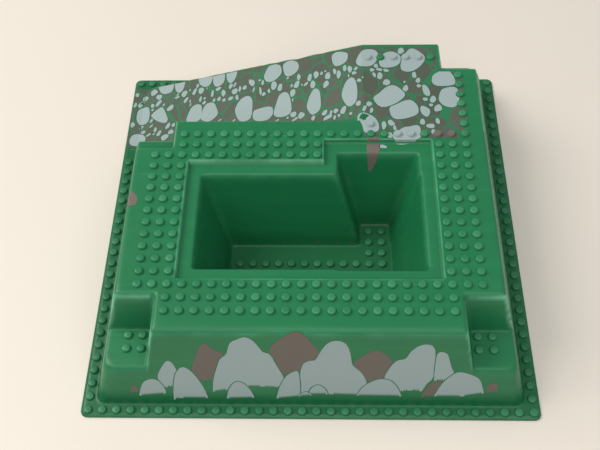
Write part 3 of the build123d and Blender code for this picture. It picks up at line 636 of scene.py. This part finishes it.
def halo_mesh(nodes, gap, drop, sizes):
    """Points and faces of the bare green round the stones of CAD nodes: a copy of each stone's top face,
    whose points move out from the stone's middle by the gap, along the sheet but not down a wall, and
    down by the drop."""
    all_points, all_faces, start = [], [], 0
    for name in nodes:
        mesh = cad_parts[name].data
        loose = np.empty(len(mesh.vertices) * 3)
        mesh.vertices.foreach_get("co", loose)
        corners = np.empty(len(mesh.loops), int)
        mesh.loops.foreach_get("vertex_index", corners)
        places, same = np.unique(np.round(loose.reshape(-1, 3), 7), axis=0, return_inverse=True)
        corners = same.ravel()[corners].reshape(-1, 3)
        stone = np.unique(stone_numbers(corners, len(places)), return_inverse=True)[1].ravel()
        share = np.bincount(stone)
        middle = np.stack([np.bincount(stone, places[:, k]) / share for k in (0, 1)], axis=-1)
        out = places[:, :2] - middle[stone]
        reach = np.maximum(np.hypot(out[:, 0], out[:, 1]), 1e-9)[:, None]
        before = ground(places[:, 0], places[:, 1], sizes)
        places[:, :2] += out / reach * gap
        change = ground(places[:, 0], places[:, 1], sizes) - before
        places[:, 2] += np.clip(change, -STEEPEST_OUTLINE * gap, STEEPEST_OUTLINE * gap) - drop
        across = places[corners[:, 1]] - places[corners[:, 0]]
        along = places[corners[:, 2]] - places[corners[:, 0]]
        normal = np.cross(across, along)
        upper = normal[:, 2] > 0.5 * np.linalg.norm(normal, axis=1)
        used, renumbered = np.unique(corners[upper], return_inverse=True)
        all_points.append(places[used])
        all_faces.append(renumbered.reshape(-1, 3) + start)
        start += len(used)
    return np.concatenate(all_points), np.concatenate(all_faces)


# Ink that runs over an edge: middle in stud places, half width, half length, turn in degrees, and colour
LAPS = (
    ("drip", 20.15, 18.0, 0.5, 0.9, 4, "dark"),
    ("edge_stone", 22.75, 19.0, 1.1, 0.66, -14, "light"),
    ("ledge_stone", 20.9, 18.15, 0.3, 0.16, 10, "light"),
    ("side_spot", 2.75, 13.0, 0.4, 0.62, -8, "dark"),
    ("corner_stone", 19.43, 20.6, 0.40, 0.30, 0, "light"),
)
LAP_RINGS = 40
LAP_SIDES = 96


def lap_mesh(place_x, place_y, half_width, half_length, turn, sizes):
    """Points and faces of a blot of ink draped on the sheet: rings of an uneven oval from its middle
    out, whose radius is the oval's times 1 plus a sway of three and five waves a turn. Each point stands
    a hair above the sheet, along the sheet's normal."""
    share, around = np.meshgrid(
        np.linspace(0.02, 1, LAP_RINGS), np.arange(LAP_SIDES) * 2 * np.pi / LAP_SIDES, indexing="ij"
    )
    sway = 1 + 0.07 * np.sin(3 * around + place_x) + 0.04 * np.sin(5 * around + place_y)
    across = half_width * share * sway * np.cos(around)
    along = half_length * share * sway * np.sin(around)
    lean = math.radians(-turn)
    x = (place_x + across * math.cos(lean) - along * math.sin(lean) - MIDDLE) * sizes.pitch
    y = (place_y + across * math.sin(lean) + along * math.cos(lean) - MIDDLE) * sizes.pitch
    lift = BLOT_LIFT * ground_normals(x, y, sizes)
    points = np.stack([x, y, ground(x, y, sizes)], axis=-1) + lift
    faces = [*grid_faces(LAP_RINGS, LAP_SIDES, 0, wrap=True, flip=True), np.arange(LAP_SIDES)]
    return points.reshape(-1, 3), faces


# ---------------------------------------------------------------- operators


class BASEPLATE_OT_sheet(bpy.types.Operator):
    """Makes the formed sheet: its top face on a grid that crowds at the walls, and its hollow back"""

    bl_idname = "baseplate.sheet"
    bl_label = "Formed sheet"

    def execute(self, context):
        sizes = context.scene.baseplate_sizes
        half = STUDS_ACROSS * sizes.pitch / 2
        along_x, along_y = wall_places(sizes)
        count = SHEET_LINES
        x, y = np.meshgrid(
            crowded_lines(along_x, -half, half, count), crowded_lines(along_y, -half, half, count)
        )
        x, y = rounded_plate(x, y, sizes)
        top = np.stack([x, y, ground(x, y, sizes)], axis=-1)
        back = top - sizes.sheet * ground_normals(x, y, sizes)
        back[..., 2] = np.maximum(back[..., 2], 0.0)
        points = np.concatenate([top.reshape(-1, 3), back.reshape(-1, 3)])
        edge = np.concatenate([
            np.arange(count),
            np.arange(1, count) * count + count - 1,
            count * count - 1 - np.arange(1, count),
            np.arange(count - 2, 0, -1) * count,
        ])
        after = np.roll(edge, -1)
        rim = np.stack([edge, edge + count * count, after + count * count, after], axis=-1)
        faces = np.concatenate([
            grid_faces(count, count, 0), grid_faces(count, count, count * count, flip=True), rim
        ])
        plastic = green_plastic(context.scene.baseplate_colours)
        piece = add_piece("moulded_sheet", points, faces, plastic)
        # Lighter along convex edges: partly whitening of the bent plastic, partly a painted highlight; a
        # little more along the plate's outer edge
        stands = prominence(x, y, sizes, 1.2 * MILLIMETRE)
        edge_of_plate = np.maximum(np.abs(x), np.abs(y)) > half - 0.6 * MILLIMETRE
        wear_and_highlight = np.clip(1.5 * np.maximum(stands, 0) ** 3, 0, 0.9) + 0.15 * edge_of_plate
        dust = np.clip(-1.2 * stands, 0, 0.4)
        # Share of the way from the darker low green to the lighter high green: darker towards the bottom, by
        # height alone
        stretch = np.clip((top[..., 2] - sizes.sheet) / (1.5 * sizes.brick), 0, 1)
        for name, values in (("wear_and_highlight", wear_and_highlight), ("dust", dust), ("stretch", stretch)):
            paint(piece, name, np.concatenate([values.ravel(), 0.3 * values.ravel()]))
        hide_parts("formed_sheet")
        return {"FINISHED"}


class BASEPLATE_OT_studs(bpy.types.Operator):
    """Makes the studs of the rim, the deck, the pads and the pit, with soft shoulders and lighter edges,
    partly worn whitening and partly a painted highlight
    """

    bl_idname = "baseplate.studs"
    bl_label = "Studs"

    def execute(self, context):
        sizes = context.scene.baseplate_sizes
        material = green_plastic(context.scene.baseplate_colours)
        # Each group's last number is its share toward the lighter high green: the rim studs darkest, the deck
        # studs lightest
        groups = (
            ("rim_studs", RIM_STUDS, 0, 0.1),
            ("pit_studs", PIT_STUDS, 0, 0.3),
            ("pad_studs", PAD_STUDS, PAD_BRICKS, 0.7),
            ("deck_studs", DECK_STUDS, DECK_BRICKS, 1.0),
        )
        for name, places, bricks, stretch in groups:
            points, faces, wear_and_highlight = stud_mesh(places, sizes.sheet + bricks * sizes.brick, sizes)
            piece = add_piece(name, points, faces, material)
            # Lighter stud edges: partly worn whitening, partly a painted highlight
            paint(piece, "wear_and_highlight", 0.5 * wear_and_highlight)
            paint(piece, "stretch", np.full(len(points), stretch))
        return {"FINISHED"}


class BASEPLATE_OT_path_print(bpy.types.Operator):
    """Inks the stones of the ramp and the landing, and the blots that run over the deck's edges"""

    bl_idname = "baseplate.path_print"
    bl_label = "Path stones"

    def execute(self, context):
        sizes = context.scene.baseplate_sizes
        inks = {
            "light": light_ink(context.scene.baseplate_colours),
            "dark": dark_ink(context.scene.baseplate_colours),
        }
        dress(["path_stones_light", "path_cobbles_light"], inks["light"])
        points, faces = path_mesh(sizes, FILM_LIFT)
        cobbles = cobbled_ink(context.scene.baseplate_colours)
        film = add_piece("path_film", points, faces, cobbles)
        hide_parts("path_stones_dark")
        stones = ["path_stones_light", "path_cobbles_light"]
        points, faces = halo_mesh(stones, OUTLINE_WIDTH, OUTLINE_DROP, sizes)
        plastic = green_plastic(context.scene.baseplate_colours)
        add_piece("path_gaps", points, faces, plastic)
        for name, place_x, place_y, half_width, half_length, turn, shade in LAPS:
            points, faces = lap_mesh(place_x, place_y, half_width, half_length, turn, sizes)
            add_piece("lap_" + name, points, faces, inks[shade])
        return {"FINISHED"}


# The studs that the print runs over, and how much wider and taller than the stud its coat of ink is
LIGHT_STUDS = [(20, 27), (22, 27), (23, 27), (24, 27), (22, 19), (23, 19), (20, 20)]
DARK_STUDS = [(25, 19), (26, 19)]
INK_COAT = 1.015


class BASEPLATE_OT_stud_print(bpy.types.Operator):
    """Inks the studs that the print runs over: their caps, and a thin coat down their sides"""

    bl_idname = "baseplate.stud_print"
    bl_label = "Stud caps"

    def execute(self, context):
        sizes = context.scene.baseplate_sizes
        deck = sizes.sheet + DECK_BRICKS * sizes.brick
        for shade, ink, places in (("light", light_ink, LIGHT_STUDS), ("dark", dark_ink, DARK_STUDS)):
            material = ink(context.scene.baseplate_colours)
            dress(["stud_caps_" + shade], material)
            points, faces, _ = stud_mesh(places, deck, sizes, INK_COAT)
            add_piece("stud_coats_" + shade, points, faces, material)
        return {"FINISHED"}


class BASEPLATE_OT_wall_print(bpy.types.Operator):
    """Inks the boulders on the front wall"""

    bl_idname = "baseplate.wall_print"
    bl_label = "Wall boulders"

    def execute(self, context):
        dress(["wall_boulders_light"], light_ink(context.scene.baseplate_colours))
        dress(["wall_boulders_dark"], dark_ink(context.scene.baseplate_colours))
        return {"FINISHED"}


def soft_light(name, place, target, size, watts, tint):
    """A square light that faces a target."""
    data = bpy.data.lights.new(name, "AREA")
    data.size = size
    data.energy = watts
    data.color = tint
    lamp = bpy.data.objects.new(name, data)
    lamp.location = place
    lamp.rotation_euler = (Vector(target) - Vector(place)).to_track_quat("-Z", "Y").to_euler()
    bpy.context.scene.collection.objects.link(lamp)


class BASEPLATE_OT_stage(bpy.types.Operator):
    """Makes the table top, the soft light and the camera"""

    bl_idname = "baseplate.stage"
    bl_label = "Stage"

    def execute(self, context):
        reach = 3.0
        mesh = bpy.data.meshes.new("table")
        corners = [(-reach, -reach, 0), (reach, -reach, 0), (reach, reach, 0), (-reach, reach, 0)]
        mesh.from_pydata(corners, [], [(0, 1, 2, 3)])
        mesh.materials.append(table_top(context.scene.baseplate_colours))
        table = bpy.data.objects.new("table", mesh)
        context.scene.collection.objects.link(table)

        world = bpy.data.worlds.new("room")
        world.use_nodes = True
        world.node_tree.nodes["Background"].inputs["Color"].default_value = (0.92, 0.95, 1.0, 1)
        world.node_tree.nodes["Background"].inputs["Strength"].default_value = 0.40
        context.scene.world = world
        context.scene.view_settings.view_transform = "Standard"
        middle = (0, 0, 0.03)
        soft_light("window", (-1.15, 0.20, 1.25), middle, 1.0, 19, (1.0, 0.94, 0.87))
        soft_light("ceiling", (0.10, -0.50, 1.1), middle, 1.4, 8, (1.0, 0.96, 0.91))

        view = bpy.data.cameras.new("view")
        view.sensor_width = 36
        view.sensor_fit = "HORIZONTAL"
        view.lens = 51.04
        camera = bpy.data.objects.new("view", view)
        right = Vector((0.9996, 0.0165, -0.0220)).normalized()
        forward = Vector((-0.0275, 0.5607, -0.8276)).normalized()
        up = right.cross(forward).normalized()
        turn = Matrix((right, up, -forward)).transposed().to_4x4()
        camera.matrix_world = Matrix.Translation((0.0077, -0.3036, 0.4514)) @ turn
        context.scene.collection.objects.link(camera)
        context.scene.camera = camera
        return {"FINISHED"}


OPERATORS = (
    BASEPLATE_OT_stage,
    BASEPLATE_OT_sheet,
    BASEPLATE_OT_studs,
    BASEPLATE_OT_path_print,
    BASEPLATE_OT_stud_print,
    BASEPLATE_OT_wall_print,
)


class BASEPLATE_PT_panel(bpy.types.Panel):
    """Lists the steps that build the baseplate"""

    bl_idname = "BASEPLATE_PT_panel"
    bl_label = "Baseplate"
    bl_space_type = "VIEW_3D"
    bl_region_type = "UI"
    bl_category = "Baseplate"

    def draw(self, context):
        for operator in OPERATORS:
            self.layout.operator(operator.bl_idname)
        for group in (context.scene.baseplate_sizes, context.scene.baseplate_colours):
            box = self.layout.box()
            for name in group.__annotations__:
                box.prop(group, name)


CLASSES = (BaseplateSizes, BaseplateColours, *OPERATORS, BASEPLATE_PT_panel)


def register():
    """Registers the classes and hangs the sizes and colours on the scene."""
    for cls in CLASSES:
        bpy.utils.register_class(cls)
    bpy.types.Scene.baseplate_sizes = bpy.props.PointerProperty(type=BaseplateSizes)
    bpy.types.Scene.baseplate_colours = bpy.props.PointerProperty(type=BaseplateColours)


def unregister():
    """Undoes register."""
    del bpy.types.Scene.baseplate_colours
    del bpy.types.Scene.baseplate_sizes
    for cls in reversed(CLASSES):
        bpy.utils.unregister_class(cls)


def main():
    """Builds everything in order."""
    register()
    bpy.ops.baseplate.stage()
    bpy.ops.baseplate.sheet()
    bpy.ops.baseplate.studs()
    bpy.ops.baseplate.path_print()
    bpy.ops.baseplate.stud_print()
    bpy.ops.baseplate.wall_print()
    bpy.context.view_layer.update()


if __name__ == "__main__":
    main()
